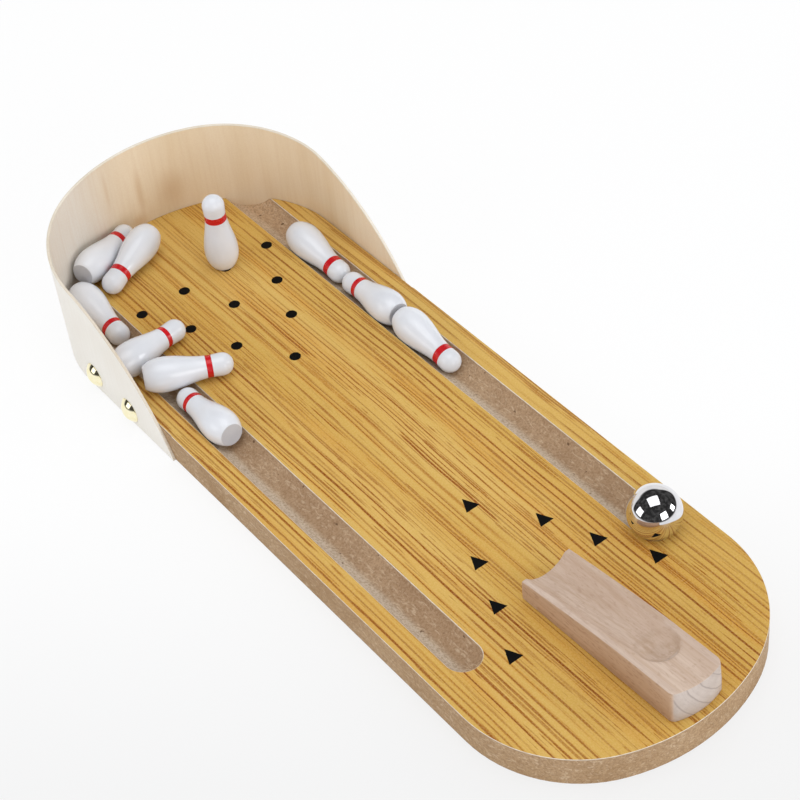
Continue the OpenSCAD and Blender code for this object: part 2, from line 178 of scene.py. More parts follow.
def lane_print():
    """Printed wood grain: fine amber lines along the lane on an even golden ground."""
    k = Look("LanePrintTop", IOR=1.22)
    x, y, _ = k.parts(k.here())
    sway = k.minus(k.noise(k.at((16, 7, 0))), 0.5)
    x = k.plus(x, k.times(sway, 0.004))

    def soft(across, along, seed):
        return k.noise(k.join(k.times(x, across), k.times(y, along), seed))

    def strokes(pitch, width, run, low, seed):
        """Lines one to a strip of this pitch, which swell, thin out and break along their run."""
        u = k.plus(k.over(x, pitch), seed)
        strip = k.math("FLOOR", u)
        toss = k.node("TexWhiteNoise", {"W": k.plus(strip, seed)}, noise_dimensions="1D").outputs["Color"]
        place, swell, strength = k.node("SeparateColor", {0: toss}).outputs
        path = k.join(k.times(strip, 7.31), k.times(y, run), seed)
        life = k.step(k.noise(path, 1.0, 3.0, 0.65), low, low + 0.12)
        wander = k.times(k.minus(k.noise(path, 2.3, 1.0), 0.5), 0.26)
        middle = k.plus(k.times(place, 0.74), 0.13, wander)
        off = k.times(k.math("ABSOLUTE", k.minus(k.minus(u, strip), middle)), pitch)
        half = k.times(k.plus(swell, 0.6), width / 2, k.plus(life, 0.15))
        line = k.step(off, k.times(half, 0.55), half, 1.0, 0.0)
        shown = k.times(line, k.times(life, k.plus(k.times(strength, 0.65), 0.35)))
        glow = k.times(k.step(off, 0.0, pitch * 0.42, 1.0, 0.0), k.times(life, place))
        return shown, glow

    crowd = k.step(soft(38, 6, 3.3), 0.32, 0.6)
    herd = k.step(soft(150, 8, 33.3), 0.36, 0.58, 0.25, 1.0)
    front_to_back = k.step(y, 0.02, 0.14, 1.0, 0.72)
    long_line, long_glow = strokes(pitch=0.0023, width=0.00060, run=10, low=0.37, seed=11.7)
    mid_line, mid_glow = strokes(pitch=0.0029, width=0.00052, run=19, low=0.39, seed=47.1)
    fine_line, _ = strokes(pitch=0.0012, width=0.00037, run=42, low=0.47, seed=83.9)
    ground = k.mix(k.step(soft(45, 5, 9.1), 0.3, 0.7), rgb(205, 163, 78), rgb(217, 179, 99))
    ground = k.mix(k.times(k.step(soft(120, 9, 21.3), 0.5, 0.78), 0.55), ground, rgb(204, 142, 50))
    ground = k.mix(k.times(long_glow, crowd, 0.6), ground, rgb(200, 138, 44))
    ground = k.mix(k.times(mid_glow, 0.45), ground, rgb(204, 144, 48))
    ground = k.mix(k.times(fine_line, herd, front_to_back), ground, rgb(154, 86, 2))
    ground = k.mix(k.times(mid_line, herd, front_to_back), ground, rgb(144, 72, 0))
    long_line = k.times(long_line, k.plus(k.times(crowd, 0.35), 0.65))
    ground = k.mix(k.times(long_line, front_to_back), ground, rgb(138, 68, 0))
    speck = k.noise(k.at((2300, 1400, 0), (9, 4, 0)))
    ground = k.mix(k.step(speck, 0.42, 0.62, 0.0, 0.16), ground, rgb(240, 208, 146))
    k.set("Base Color", ground)
    k.set("Roughness", k.step(speck, 0.2, 0.8, 0.36, 0.46))
    relief = k.plus(k.times(long_line, -0.5), k.times(speck, 0.35))
    k.set("Normal", k.bump(relief, 0.00002, 0.5))
    return k.mat


def lane_edge():
    """The cut edge of the print's board, with a thin line of pale paper at the top."""
    k = Look("LanePrintEdge", Roughness=0.7, IOR=1.4)
    tone = k.noise(k.at((500, 500, 2500)), 1.0, 3)
    _, _, height = k.parts(k.at())
    paper_low, paper_high = BOARD_T - 0.34, BOARD_T - 0.22
    paper = k.step(height, paper_low * MM, paper_high * MM)
    pale = k.mix(k.step(tone, 0.3, 0.7), rgb(214, 200, 178), rgb(236, 226, 208))
    board = k.mix(k.step(tone, 0.3, 0.7), rgb(158, 130, 102), rgb(180, 152, 122))
    k.set("Base Color", k.mix(paper, board, pale))
    k.set("Normal", k.bump(tone, 0.00003, 0.4))
    return k.mat


def ink():
    k = Look("BlackInk", IOR=1.25)
    tone = k.noise(k.at((1500, 1500, 0)), 1.0, 3)
    k.set("Base Color", k.mix(k.step(tone, 0.3, 0.75), rgb(1, 1, 2), rgb(9, 9, 9)))
    k.set("Roughness", k.step(tone, 0.2, 0.8, 0.5, 0.65))
    k.set("Normal", k.bump(tone, 0.00002, 0.4))
    return k.mat


def mdf():
    """Fibreboard: pressed fibres in the milled gutters, a smoother sanded edge.

    A gutter's wall that faces +X is paler and greyer, and its floor behind the pins is paler: both are
    painted light. The sawn side that faces +X has a painted sheen.
    """
    k = Look("Fibreboard", IOR=1.35)
    sideways, _, up = k.parts(k.node("NewGeometry", {}).outputs["Normal"])
    _, along, height = k.parts(k.at())
    floor_low, floor_high = BOARD_T - GUTTER_DEPTH - 0.7, BOARD_T - GUTTER_DEPTH - 0.1
    in_gutter = k.times(k.step(height, floor_low * MM, floor_high * MM), k.step(up, 0.02, 0.2))
    cloud = k.noise(k.at((45, 45, 60)), 1.0, 3)
    grit = k.noise(k.at((1300, 1300, 1300)), 1.0, 4, 0.7)
    fibre = k.noise(k.at((700, 240, 700), (4, 8, 2)), 1.0, 4, 0.65, 1.5)
    milled = k.mix(k.step(cloud, 0.3, 0.7), rgb(168, 137, 106), rgb(184, 154, 122))
    sawn = k.mix(k.step(cloud, 0.3, 0.7), rgb(170, 138, 101), rgb(184, 154, 119))
    # Painted sheen: the sawn side that faces +X is lighter and greyer.
    sawn = k.mix(k.step(sideways, 0.3, 0.9, 0.0, 0.5), sawn, rgb(206, 190, 168))
    base = k.mix(in_gutter, sawn, milled)
    # Painted light: the gutter's wall that faces +X is paler and greyer.
    painted_light_wall = k.times(k.step(sideways, -0.02, 0.5), in_gutter, 0.66)
    base = k.mix(painted_light_wall, base, rgb(214, 201, 182))
    # Painted light: the gutter's floor behind the pins is paler.
    painted_light_floor = k.times(k.step(along, 0.10, 0.145, 0.0, 0.5), in_gutter)
    base = k.mix(painted_light_floor, base, rgb(236, 204, 166))
    base = k.mix(k.step(grit, 0.42, 0.62, 0.0, 0.5), base, rgb(134, 102, 72))
    base = k.mix(k.step(fibre, 0.52, 0.66, 0.0, 0.45), base, rgb(220, 198, 170))
    dark = k.step(k.noise(k.at((420, 420, 420), (7, 1, 5))), 0.70, 0.76)
    base = k.mix(k.times(dark, k.step(in_gutter, 0, 1, 0.25, 0.8)), base, rgb(96, 68, 48))
    k.set("Base Color", base)
    k.set("Roughness", k.step(grit, 0.2, 0.8, 0.72, 0.9))
    k.set("Normal", k.bump(k.plus(grit, fibre), 0.00008, 0.45))
    return k.mat


# Stains on the guard's inside, and one darker patch just above the lane: x and z of the middle, half width
# and half height in millimetres, strength
STAINS = (
    (15.0, 22.0, 8.5, 13.0, 0.42),
    (2.5, 26.0, 2.2, 13.0, 0.4),
    # A darker patch low on the inside, just above the lane.
    (0.5, 13.0, 4.5, 5.0, 0.45),
    (-11.0, 34.0, 1.6, 15.0, 0.25),
)


def veneer(name, light, dark, stain, stain_share, streak=1.0, pale=None):
    """Thin birch veneer with its grain upright, so that it bends round the board's end.

    The side that gets a pale tone toward -X, the guard's inside, gets the stains and a darker patch at its
    back too. That pale tone is partly the veneer's own and partly painted light, where the inside faces the
    lamps at the right.
    """
    k = Look(name, IOR=1.4)
    x, y, z = k.parts(k.at())
    band = k.noise(k.at((48, 48, 4)))
    fibre = k.noise(k.at((900, 900, 40), (3, 3, 1)), 1.0, 3, 0.6)
    blotch = k.noise(k.at((22, 22, 15), (8, 2, 6)), 1.0, 2, 0.5, 0.5)
    grain = k.noise(k.at((1700, 1700, 1700), (6, 1, 2)))
    base = k.mix(k.step(band, 0.3, 0.72, 0.5 - streak / 2, 0.5 + streak / 2), light, dark)
    # Paler and greyer toward -X: partly the veneer's own tone, partly painted light where the inside faces
    # the lamps at the right.
    if pale:
        base = k.mix(k.step(x, -0.032, 0.004, 0.85, 0.0), base, pale)
    base = k.mix(k.step(blotch, 0.48, 0.8, 0.0, stain_share), base, stain)
    base = k.mix(k.step(fibre, 0.35, 0.75, 0.0, 0.1), base, stain)
    base = k.mix(k.step(grain, 0.3, 0.7, 0.0, 0.08), base, stain)
    for x0, z0, wide, high, share in STAINS if pale else ():
        dx = k.over(k.minus(x, x0 * MM), wide * MM)
        dz = k.over(k.minus(z, z0 * MM), high * MM)
        away = k.plus(k.length(dx, dz), k.times(k.minus(band, 0.5), 1.2))
        patch = k.times(k.step(away, 0.0, 1.0, share, 0.0), k.step(y, 0.10, 0.12))
        base = k.mix(patch, base, stain)
    k.set("Base Color", base)
    k.set("Roughness", k.step(fibre, 0.2, 0.8, 0.5, 0.68))
    k.set("Normal", k.bump(k.plus(fibre, band), 0.00003, 0.3))
    return k.mat


def beech():
    """Solid beech: fine grain along the ramp, curved growth rings and checks on its end."""
    k = Look("Beech", IOR=1.4)
    x, y, z = k.parts(k.at())
    face_x, face_y, _ = k.parts(k.node("TexCoord", {}).outputs["Normal"])
    on_end = k.step(k.math("ABSOLUTE", face_y), 0.55, 0.8)
    on_side = k.step(k.math("ABSOLUTE", face_x), 0.7, 0.95)

    def reach(a, a0, b, b0):
        """How far the point a, b is from a0, b0."""
        return k.length(k.minus(a, a0), k.minus(b, b0))

    def uneven(scale, size):
        """A small shift to either side, at most about half of size."""
        return k.times(k.minus(k.noise(k.at(scale)), 0.5), size)

    cloud = k.noise(k.at((110, 22, 110), (1, 9, 3)), 1.0, 3)
    streak = k.noise(k.at((620, 9, 620), (2, 4, 6)), 1.0, 3, 0.6)
    fibre = k.noise(k.at((1500, 60, 1500)), 1.0, 3, 0.6)
    fleck = k.step(k.noise(k.at((1300, 420, 1300), (5, 5, 5))), 0.56, 0.68)
    askew = k.times(k.plus(x, k.times(y, 0.22)), 330)
    slant = k.noise(k.join(askew, k.times(y, 16), 4.0))
    base = k.mix(k.step(cloud, 0.3, 0.7), rgb(198, 173, 153), rgb(212, 190, 172))
    base = k.mix(k.step(streak, 0.46, 0.66, 0.0, 0.4), base, rgb(184, 154, 128))
    base = k.mix(k.step(slant, 0.55, 0.72, 0.0, 0.22), base, rgb(174, 142, 114))
    base = k.mix(k.step(fibre, 0.4, 0.65, 0.0, 0.36), base, rgb(178, 148, 126))
    base = k.mix(k.times(fleck, 0.26), base, rgb(162, 128, 104))

    left_land = k.step(x, -0.0072, -0.0088)
    right_land = k.times(k.step(x, 0.0066, 0.0076), k.step(y, 0.024, 0.020))
    land = k.math("MAXIMUM", left_land, right_land)
    base = k.mix(k.times(land, 0.18), base, rgb(214, 198, 188))
    # Painted shade in the ball's seat: a darker ring on its wall, strongest on the steep side, and darker
    # blotches inside it.
    seat_y = SEAT_FROM_END * MM
    seat = k.plus(reach(x, SEAT_X * MM, y, seat_y), uneven((260, 260, 0), 0.0022))
    painted_shade_ring = k.times(k.step(seat, 0.0045, 0.0065), k.step(seat, 0.0066, 0.0074, 1.0, 0.0))
    painted_shade_blotches = k.step(k.noise(k.at((480, 300, 0), (3, 7, 1)), 1.0, 3), 0.44, 0.66)
    # The darker blotches inside the seat are painted shade of the hollow, not wear.
    worn = k.times(k.step(seat, 0.0045, 0.0068, 1.0, 0.0), painted_shade_blotches)
    steep = k.step(y, seat_y + 0.002, seat_y - 0.005, 0.35, 1.0)
    base = k.mix(k.times(painted_shade_ring, steep, 0.4), base, rgb(160, 132, 106))
    base = k.mix(k.times(worn, 0.34), base, rgb(166, 134, 102))
    side = k.mix(k.step(cloud, 0.3, 0.7), rgb(182, 149, 120), rgb(196, 165, 138))
    side = k.mix(k.times(fleck, 0.42), side, rgb(146, 108, 82))
    side = k.mix(k.step(streak, 0.48, 0.66, 0.0, 0.36), side, rgb(164, 128, 100))

    heart_x, heart_z, ring_pitch = 0.017, 0.020, 0.0046
    rings = k.plus(reach(x, heart_x, z, heart_z), uneven((120, 0, 120), 0.0016))
    in_ring = k.math("FRACT", k.plus(k.over(rings, ring_pitch), 0.39))
    check = k.step(k.math("ABSOLUTE", k.minus(in_ring, 0.5)), 0.0, 0.085, 1.0, 0.0)
    check = k.times(check, k.step(k.noise(k.at((130, 0, 130), (4, 0, 8))), 0.22, 0.42))
    faint = k.step(k.noise(k.join(k.times(rings, 900), 2.0, 7.0)), 0.4, 0.7)
    end = k.mix(k.step(cloud, 0.3, 0.7), rgb(192, 178, 168), rgb(206, 193, 184))
    end = k.mix(k.times(faint, 0.25), end, rgb(168, 150, 138))
    end = k.mix(k.times(fleck, 0.2), end, rgb(166, 150, 142))
    end = k.mix(k.times(check, 0.55), end, rgb(142, 127, 120))
    k.set("Base Color", k.mix(on_end, k.mix(on_side, base, side), end))
    k.set("Roughness", k.step(fibre, 0.2, 0.8, 0.55, 0.72))
    k.set("Normal", k.bump(k.plus(fibre, k.times(check, -0.6)), 0.00005, 0.4))
    return k.mat


def brass():
    k = Look("Brass", Metallic=1.0)
    wear = k.noise(k.at((420, 420, 420)), 1.0, 4, 0.6)
    k.set("Base Color", k.mix(k.step(wear, 0.3, 0.7), rgb(250, 240, 196), rgb(253, 246, 214)))
    k.set("Roughness", k.step(wear, 0.3, 0.75, 0.07, 0.15))
    k.set("Normal", k.bump(wear, 0.00002, 0.3))
    return k.mat


def chrome():
    k = Look("PolishedSteel", Metallic=1.0)
    wear = k.noise(k.at((260, 260, 260)), 1.0, 4, 0.65)
    fine = k.noise(k.at((2200, 2200, 2200)))
    k.set("Base Color", k.mix(k.step(wear, 0.35, 0.7), rgb(226, 226, 230), rgb(236, 236, 238)))
    k.set("Roughness", k.step(wear, 0.35, 0.8, 0.025, 0.07))
    k.set("Normal", k.bump(k.plus(wear, k.times(fine, 0.2)), 0.000012, 0.25))
    return k.mat


def gloss_paint(name, light, dark, rough):
    k = Look(name, IOR=1.6)
    cloud = k.noise(k.at((110, 110, 60)), 1.0, 3)
    skin = k.noise(k.at((700, 700, 700), (2, 5, 8)), 1.0, 3)
    k.set("Base Color", k.mix(k.step(cloud, 0.3, 0.7), dark, light))
    k.set("Roughness", k.step(skin, 0.2, 0.8, rough, rough + 0.1))
    k.set("Normal", k.bump(k.plus(k.times(cloud, 2.0), skin), 0.00004, 0.35))
    return k.mat


LANE_TOP, LANE_EDGE, INK, MDF = lane_print(), lane_edge(), ink(), mdf()
# The inside is warmer than the outside: painted warm light bounced from the lane, over the veneer's own grain
# and stains.
GUARD_IN = veneer(
    "VeneerInside",
    light=rgb(240, 223, 196),
    dark=rgb(228, 206, 172),
    stain=rgb(200, 160, 112),
    stain_share=0.55,
    streak=0.9,
    pale=rgb(226, 222, 215),
)
GUARD_OUT = veneer("VeneerOutside", rgb(242, 239, 232), rgb(238, 233, 224), rgb(222, 212, 196), 0.2, 0.6)
GUARD_RIM = veneer("VeneerEdge", rgb(236, 228, 214), rgb(222, 211, 192), rgb(190, 168, 138), 0.3)
BEECH, BRASS, CHROME = beech(), brass(), chrome()
WHITE = gloss_paint("WhitePaint", rgb(229, 231, 236), rgb(220, 222, 227), 0.1)
# The pins' flat feet: the white paint with painted shade, a darker grey, and a duller finish.
PAINTED_SHADE_FOOT = gloss_paint("WhitePaintFootPaintedShade", rgb(199, 199, 203), rgb(189, 189, 194), 0.4)
RED = gloss_paint("RedPaint", rgb(212, 10, 26), rgb(196, 8, 22), 0.2)


# Mesh helpers
def piece(name, verts, faces, looks, body, nodes, face_looks=None, place=None, sharp=35):
    """A piece of the object from points in millimetres, which rides on a body and stands for nodes."""
    mesh = bpy.data.meshes.new(name)
    mesh.from_pydata([(x * MM, y * MM, z * MM) for x, y, z in verts], [], faces)
    for look in looks:
        mesh.materials.append(look)
    if face_looks is not None:
        mesh.polygons.foreach_set("material_index", face_looks)
    work = bmesh.new()
    work.from_mesh(mesh)
    bmesh.ops.recalc_face_normals(work, faces=work.faces)
    work.to_mesh(mesh)
    work.free()
    mesh.polygons.foreach_set("use_smooth", [True] * len(mesh.polygons))
    mesh.set_sharp_from_angle(angle=math.radians(sharp))
    obj = bpy.data.objects.new(name, mesh)
    bpy.context.scene.collection.objects.link(obj)
    if place is not None:
        obj.matrix_world = place
    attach(obj, body)
    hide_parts(*nodes)


def loft(rings):
    """Quads from each closed ring of points to the next, and last a face at both ends."""
    n = len(rings[0])
    verts = [p for ring in rings for p in ring]
    faces = []
    for i in range(len(rings) - 1):
        for j in range(n):
            k = (j + 1) % n
            faces.append((i * n + j, i * n + k, (i + 1) * n + k, (i + 1) * n + j))
    faces.append(tuple(range(n))[::-1])
    faces.append(tuple(range((len(rings) - 1) * n, len(rings) * n)))
    return verts, faces


def revolve(profile, n, closed=False):
    """A turned body from points (r, h, look of the face that starts there), about +Z, in n steps."""
    verts, faces, marks, rows = [], [], [], []
    angles = [2 * math.pi * i / n for i in range(n)]
    for r, h, _ in profile:
        if r < 1e-6:
            rows.append([len(verts)] * n)
            verts.append((0, 0, h))
        else:
            rows.append([len(verts) + i for i in range(n)])
            verts += [(r * math.cos(a), r * math.sin(a), h) for a in angles]
    pairs = list(zip(rows, rows[1:], profile))
    if closed:
        pairs.append((rows[-1], rows[0], profile[-1]))
    for a, b, (_, _, look) in pairs:
        for i in range(n):
            j = (i + 1) % n
            corners = [a[i], a[j], b[j], b[i]]
            faces.append(tuple(dict.fromkeys(corners)))
            marks.append(look)
    return verts, faces, marks


def arc(cx, cy, r, a0, a1, n):
    """The n + 1 points along an arc from angle a0 to angle a1."""
    angles = [a0 + (a1 - a0) * i / n for i in range(n + 1)]
    return [(cx + r * math.cos(a), cy + r * math.sin(a)) for a in angles]


# The guard: one bent strip
def guard_top(y, front_y):
    """Height of the guard's top edge, a straight fall and then an arc down to the front point."""
    fall = math.atan(GUARD_FALL)
    along, under = np.array([math.cos(fall), math.sin(fall)]), np.array([math.sin(fall), -math.cos(fall)])
    front = np.array([front_y, 0.0])
    first = np.array([BACK_Y, GUARD_H]) + SHOULDER_R * under - front
    run = first @ along
    slide = math.sqrt(run**2 - first @ first + SHOULDER_R**2) - run
    cy, cz = front + first + slide * along
    if y > cy - SHOULDER_R * math.sin(fall):
        return GUARD_H + GUARD_FALL * (y - BACK_Y)
    return max(0.0, cz + math.sqrt(max(0.0, SHOULDER_R**2 - (y - cy) ** 2)))


def make_guard():
    tip, side_steps, corner_steps, end_steps = 0.25, 44, 40, 44
    corner_y = MID_Y + CORNER_C
    right_y, left_y = BACK_Y - GUARD_REACH_RIGHT, BACK_Y - GUARD_REACH_LEFT

    def side(front_y):
        """Places along a straight side, closer together toward its front point."""
        start = front_y + tip
        return [start + (corner_y - start) * (i / side_steps) ** 1.5 for i in range(side_steps)]

    path = [(HALF_W, y, 1.0, 0.0) for y in side(right_y)]

    def bend(cx, cy, r, a0, a1, n):
        for i in range(n + 1):
            a = a0 + (a1 - a0) * i / n
            path.append((cx + r * math.cos(a), cy + r * math.sin(a), math.cos(a), math.sin(a)))

    bend(CORNER_X, corner_y, CORNER_R, 0, JOIN, corner_steps)
    path.pop()
    bend(0, MID_Y + END_C, END_R, JOIN, math.pi - JOIN, end_steps)
    path.pop()
    bend(-CORNER_X, corner_y, CORNER_R, math.pi - JOIN, math.pi, corner_steps)
    path += [(-HALF_W, y, -1.0, 0.0) for y in reversed(side(left_y))]
    soft, steps = 0.3, 4
    rings = []
    for x, y, nx, ny in path:
        out_y = y + ny * GUARD_T
        front_y = right_y if x > 0 else left_y
        top_in, top_out = guard_top(y, front_y), guard_top(out_y, front_y)
        soft_here = min(soft, top_in * 0.45)
        section = [(0.0, 0.0)]
        for i in range(steps + 1):
            a = math.pi / 2 * i / steps
            section.append((soft_here * (1 - math.cos(a)), top_in - soft_here * (1 - math.sin(a))))
        for i in range(steps + 1):
            a = math.pi / 2 * (1 - i / steps)
            section.append((GUARD_T - soft_here * (1 - math.cos(a)), top_out - soft_here * (1 - math.sin(a))))
        section.append((GUARD_T, 0.0))
        rings.append([(x + nx * d, y + ny * d, h) for d, h in section])
    verts, faces = loft(rings)
    n = len(rings[0])
    inside, outside, rim = 0, 1, 2
    look_of_row = [inside] + [rim] * (n - 3) + [outside, rim]
    marks = [look_of_row[f % n] for f in range(len(faces) - 2)] + [rim, rim]
    piece("GuardStrip", verts, faces, [GUARD_IN, GUARD_OUT, GUARD_RIM], "board", ["guard"], marks)


# The lane sheet, cut through at the gutters
def lane_ring(z, gutter, inset, gap):
    """The sheet's outline seen from above, at height z and drawn in by inset.

    Half a gutter's width is gutter, and gap is the sheet's distance from the guard.
    """
    r_back, r_front = CORNER_R - inset - gap, CORNER_R - inset
    e_back, e_front = END_R - inset - gap, END_R - inset
    back_c, front_c = MID_Y + CORNER_C, MID_Y - CORNER_C
    out = math.acos((GUTTER_X + gutter - CORNER_X) / r_back)
    mid = math.acos((GUTTER_X - gutter - CORNER_X) / r_back)
    turn = math.pi
    end_steps, front_steps, back_steps, tongue_steps, slot_steps = 34, 30, 20, 8, 28
    notch = 0.6

    def slot(cx):
        return arc(cx, GUTTER_FRONT_Y, gutter, 0, -turn, slot_steps)

    edge = arc(-CORNER_X, front_c, r_front, turn, 2 * turn - (turn - JOIN), front_steps)[:-1]
    edge += arc(0, MID_Y - END_C, e_front, turn + JOIN, 2 * turn - JOIN, end_steps)[:-1]
    edge += arc(CORNER_X, front_c, r_front, 2 * turn - JOIN, 2 * turn, front_steps)
    step_y = BACK_Y - GUARD_REACH_RIGHT
    edge += [(HALF_W - inset, step_y - notch), (HALF_W - inset - gap, step_y + notch)]
    edge += arc(CORNER_X, back_c, r_back, 0, out, back_steps)
    edge += slot(GUTTER_X)
    edge += arc(CORNER_X, back_c, r_back, mid, JOIN, tongue_steps)[:-1]
    edge += arc(0, MID_Y + END_C, e_back, JOIN, turn - JOIN, end_steps)[:-1]
    edge += arc(-CORNER_X, back_c, r_back, turn - JOIN, turn - mid, tongue_steps)
    edge += slot(-GUTTER_X)
    edge += arc(-CORNER_X, back_c, r_back, turn - out, turn, back_steps)
    step_y = BACK_Y - GUARD_REACH_LEFT
    edge += [(-HALF_W + inset + gap, step_y + notch), (-HALF_W + inset, step_y - notch)]
    return [(x, y, z) for x, y in edge]


PRINT_TOP = BOARD_T - 0.01


def gutter_half_at(z):
    """Half a gutter's width at height z."""
    return math.sqrt(GUTTER_R**2 - (GUTTER_C - z) ** 2)


def make_lane():
    chamfer, gap, off_core = 0.09, 0.22, 0.004
    rings = [
        lane_ring(CORE_T + off_core, gutter_half_at(CORE_T), 0.0, gap),
        lane_ring(PRINT_TOP - chamfer, gutter_half_at(PRINT_TOP - chamfer), 0.0, gap),
        lane_ring(PRINT_TOP, GUTTER_HALF + chamfer, chamfer, gap),
    ]
    verts, faces = loft(rings)
    marks = [1] * (len(faces) - 1) + [0]
    looks = [LANE_TOP, LANE_EDGE]
    piece("LaneSheet", verts, faces, looks, "board", ["lane_laminate"], marks, sharp=20)


# Printed marks
INK_T, SPREAD_SPOT, SPREAD_ARROW = 0.004, 0.10, 0.09
# Noise vectors start from the clock unless they get a seed, and the marks have to be the same at each run
noise.seed_set(7)


def ink_patch(points, verts, faces):
    """A thin patch of ink on the lane, from its outline seen from above."""
    n, base = len(points), len(verts)
    middle = (sum(p[0] for p in points) / n, sum(p[1] for p in points) / n)
    low, high = PRINT_TOP, BOARD_T + INK_T
    verts += [(x, y, low) for x, y in points] + [(x, y, high) for x, y in points]
    verts += [(*middle, low), (*middle, high)]
    for i in range(n):
        j = (i + 1) % n
        faces.append((base + i, base + j, base + n + j, base + n + i))
        faces.append((base + n + i, base + n + j, base + 2 * n + 1))
        faces.append((base + j, base + i, base + 2 * n))


def ragged(x, y, size, seed):
    """Moves a point of a print's outline a little, as ink spreads in paper."""
    shift = noise.noise_vector(Vector((x * 1.3, y * 1.3, seed)))
    return x + size * shift[0], y + size * shift[1]


def in_print(x, y):
    """Where a point of the print is on the board, the whole print being a little off and askew."""
    turn = math.radians(PRINT_TURN)
    return PRINT_SHIFT + x * math.cos(turn) - y * math.sin(turn), x * math.sin(turn) + y * math.cos(turn)


def make_marks():
    spot_steps, arrow_steps = 48, 14
    verts, faces = [], []
    for row in range(len(SPOT_PITCH)):
        for i in range(row + 1):
            cx, cy = in_print((i - row / 2) * SPOT_PITCH[row], BACK_Y - SPOT_START + row * SPOT_ROW)
            rim = arc(cx, cy, SPOT_D / 2, 0, 2 * math.pi, spot_steps)[:-1]
            ink_patch([ragged(x, y, SPREAD_SPOT, row + i * 0.37) for x, y in rim], verts, faces)
    piece("PinSpotPrint", verts, faces, [INK], "board", ["pin_spots"])
    verts, faces = [], []
    places = [(0.0, 0.0)] + [(m * o, b) for o, b in zip(ARROW_OUT, ARROW_BACK) for m in (-1, 1)]
    for at_x, back in places:
        cx, cy = at_x, FRONT_Y + ARROW_START - back
        tips = [(0, ARROW_L * 2 / 3), (-ARROW_W / 2, -ARROW_L / 3), (ARROW_W / 2, -ARROW_L / 3)]
        rim = []
        for (ax, ay), (bx, by) in zip(tips, tips[1:] + tips[:1]):
            for i in range(arrow_steps):
                x, y = cx + ax + (bx - ax) * i / arrow_steps, cy + ay + (by - ay) * i / arrow_steps
                rim.append(in_print(x, y))
        ink_patch([ragged(x, y, SPREAD_ARROW, at_x) for x, y in rim], verts, faces)
    piece("AimArrowPrint", verts, faces, [INK], "board", ["aiming_arrows"])


# Nails, ball and pins
TURN_STEPS = 72


def make_nails():
    head_r, chamfer, lip, dome_steps = HEAD_D / 2, 0.1, 0.22, 25
    cap_r = (head_r**2 + HEAD_H**2) / (2 * HEAD_H)
    profile = [(0, -SHANK_L, 0), (SHANK_D / 8, -SHANK_L, 0), (SHANK_D / 2, -SHANK_L + 2 * SHANK_D, 0)]
    profile += [(SHANK_D / 2, 0.0, 0), (head_r - chamfer, 0.0, 0), (head_r, chamfer, 0)]
    profile.append((head_r - 0.02, lip, 0))
    edge = math.asin((head_r - 0.12) / cap_r)
    for i in range(dome_steps + 1):
        a = edge * (1 - i / dome_steps)
        rise = (lip - 0.06) * (a / edge) ** 6
        profile.append((cap_r * math.sin(a), HEAD_H - cap_r + cap_r * math.cos(a) + rise, 0))
    verts, faces, marks = revolve(profile, TURN_STEPS)
    number = 0
    for side in (-1, 1):
        for back, height in zip(NAIL_BACK, NAIL_Z):
            number += 1
            spot = Vector((side * (HALF_W + GUARD_T), BACK_Y - back, height)) * MM
            place = Matrix.Translation(spot) @ Matrix.Rotation(side * math.pi / 2, 4, "Y")
            name = "GuardNail_%d" % number
            piece(name, verts, faces, [BRASS], "board", ["guard_nails"], marks, place)


def make_ball():
    """A ball from a cube's six grids of squares, so that no point of it is pinched like a pole."""
    n, r = 24, BALL_D / 2
    grid = {}
    verts, faces = [], []

    def corner(p):
        key = tuple(round(c * n) for c in p)
        if key not in grid:
            grid[key] = len(verts)
            bent = Vector([math.tan(c * math.pi / 4) for c in p]).normalized() * r
            verts.append(tuple(bent))
        return grid[key]

    for axis in range(3):
        for side in (-1, 1):
            for i in range(-n, n):
                for j in range(-n, n):
                    quad = []
                    for di, dj in ((0, 0), (1, 0), (1, 1), (0, 1)):
                        p = [0.0] * 3
                        p[axis], p[(axis + 1) % 3], p[(axis + 2) % 3] = side, (i + di) / n, (j + dj) / n
                        quad.append(corner(p))
                    faces.append(tuple(quad))
    lift = math.sqrt(r**2 - GUTTER_HALF**2)
    place = Matrix.Translation(Vector((GUTTER_X, GUTTER_FRONT_Y, BOARD_T + lift + REST_GAP)) * MM)
    piece("SteelBall", verts, faces, [CHROME], "ball", ["ball"], place=place)


FOOT_ARC_R = (BELLY_H**2 + (BELLY_R - FOOT_R) ** 2) / (2 * (BELLY_R - FOOT_R))


def wave(a, b, t):
    """A smooth change from a to b as t goes from 0 to 1."""
    return (a + b) / 2 + (a - b) / 2 * math.cos(math.pi * t)


def pin_r(h):
    """Half thickness of a pin at height h."""
    if h < BELLY_H:
        return BELLY_R - FOOT_ARC_R + math.sqrt(FOOT_ARC_R**2 - (BELLY_H - h) ** 2)
    if h < NECK_H:
        return wave(BELLY_R, NECK_R, (h - BELLY_H) / (NECK_H - BELLY_H))
    if h < PIN_HEAD_H:
        return wave(NECK_R, PIN_HEAD_R, (h - NECK_H) / (PIN_HEAD_H - NECK_H))
    return PIN_HEAD_R * math.sqrt(max(0.0, 1 - ((h - PIN_HEAD_H) / (PIN_H - PIN_HEAD_H)) ** 2))


